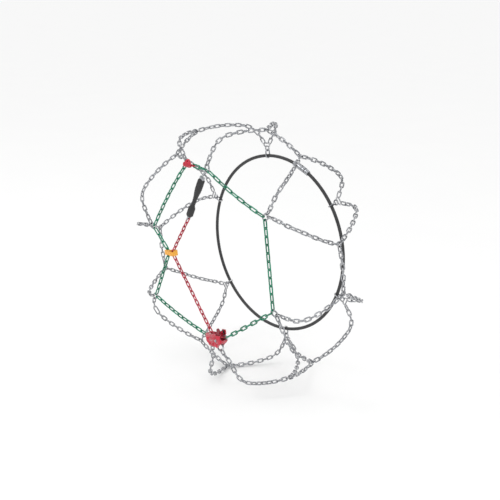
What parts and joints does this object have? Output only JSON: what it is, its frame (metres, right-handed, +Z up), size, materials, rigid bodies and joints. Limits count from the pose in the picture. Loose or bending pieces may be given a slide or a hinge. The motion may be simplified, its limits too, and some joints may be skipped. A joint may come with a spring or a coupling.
{
  "type": "tire snow chains",
  "caption": "Tyre snow chain in its fitted shape: zigzag link net, coloured side and tension chains, ratchet, rubber tensioner, guide clip and a cable hoop behind the wheel.",
  "frame": {"origin": "the wheel's centre: on the wheel's axle, in the middle of the tyre's width", "axes": "Y along the wheel's axle, with the wheel's outer side towards -Y; +Z up as pictured; +X to the right seen from the outer side"},
  "size_m": [0.6545, 0.2461, 0.6432],
  "materials": {
    "zinc": "zinc plated, slightly worn",
    "green_chain": "gloss, worn at the ends of the links",
    "red_chain": "gloss, worn at the ends of the links",
    "red_housing": "gloss powder coat",
    "dark_red_lever": "gloss powder coat",
    "black_spring": "oiled black wire",
    "amber_clip": "moulded, satin",
    "black_rubber": "matt, faintly ribbed",
    "cable_sheath": "satin sheath over steel cable"
  },
  "bodies": {
    "net": {"outer_run_1": "zinc", "outer_run_2": "zinc", "outer_run_3": "zinc", "outer_run_4": "zinc", "outer_run_5": "zinc", "outer_run_6": "zinc", "outer_run_7": "zinc", "outer_run_8": "zinc", "outer_run_9": "zinc", "outer_run_10": "zinc", "outer_run_11": "zinc", "outer_run_12": "zinc", "inner_pair_1": "zinc", "inner_pair_2": "zinc", "inner_pair_3": "zinc", "inner_pair_4": "zinc", "inner_pair_5": "zinc", "inner_pair_6": "zinc", "tread_bar_1": "zinc", "tread_bar_2": "zinc", "tread_bar_3": "zinc", "tread_bar_4": "zinc", "tread_bar_5": "zinc", "tread_bar_6": "zinc", "tread_rings": "zinc", "junction_links": "zinc", "inner_rings": "zinc", "hoop_eyes": "zinc", "side_chain_1": "green_chain", "side_chain_2": "green_chain", "side_chain_3": "green_chain", "side_chain_4": "green_chain", "side_chain_5": "green_chain", "side_chain_6": "green_chain", "side_chain_7": "green_chain", "side_corner_link": "green_chain", "tension_chain_lower": "red_chain", "tension_corner_links": "red_chain", "tension_end_link": "zinc", "ratchet_front_shell": "red_housing", "ratchet_back_shell": "red_housing", "ratchet_rivets": "zinc", "ratchet_ring": "zinc", "lever_pin": "zinc", "lever_spring": "black_spring", "guide_clip": "amber_clip", "hoop_cable": "cable_sheath", "hoop_ferrules": "zinc", "hoop_socket": "zinc"},
    "lever": {"ratchet_lever": "dark_red_lever"},
    "hook": {"closure_hook": "red_housing"},
    "tail": {"tension_chain_tail": "red_chain", "tensioner_end": "zinc", "rubber_tensioner": "black_rubber", "tensioner_hook": "zinc"},
    "stud": {"hoop_stud": "zinc"}
  },
  "joints": [
    {"name": "lever_release", "type": "hinge", "parent": "net", "child": "lever", "pos_m": [0.0343, -0.1177, -0.18673], "axis": [0, -1, 0], "range_deg": [0, 30], "stiffness_Nm_per_rad": 0.02, "springref_deg": -8.59},
    {"name": "closure_hook_swing", "type": "hinge", "parent": "net", "child": "hook", "pos_m": [-0.06094, -0.1082, 0.22086], "axis": [0.0687, 0, 0.9976], "range_deg": [0, 60]},
    {"name": "tail_swing", "type": "hinge", "parent": "net", "child": "tail", "pos_m": [-0.13508, -0.11323, -0.00114], "axis": [0.8363, 0, -0.5483], "range_deg": [0, 70]},
    {"name": "hoop_stud_twist", "type": "hinge", "parent": "net", "child": "stud", "pos_m": [0.08305, 0.1082, 0.20556], "axis": [0.9272, 0, -0.3746], "range_deg": [0, 90]}
  ]
}
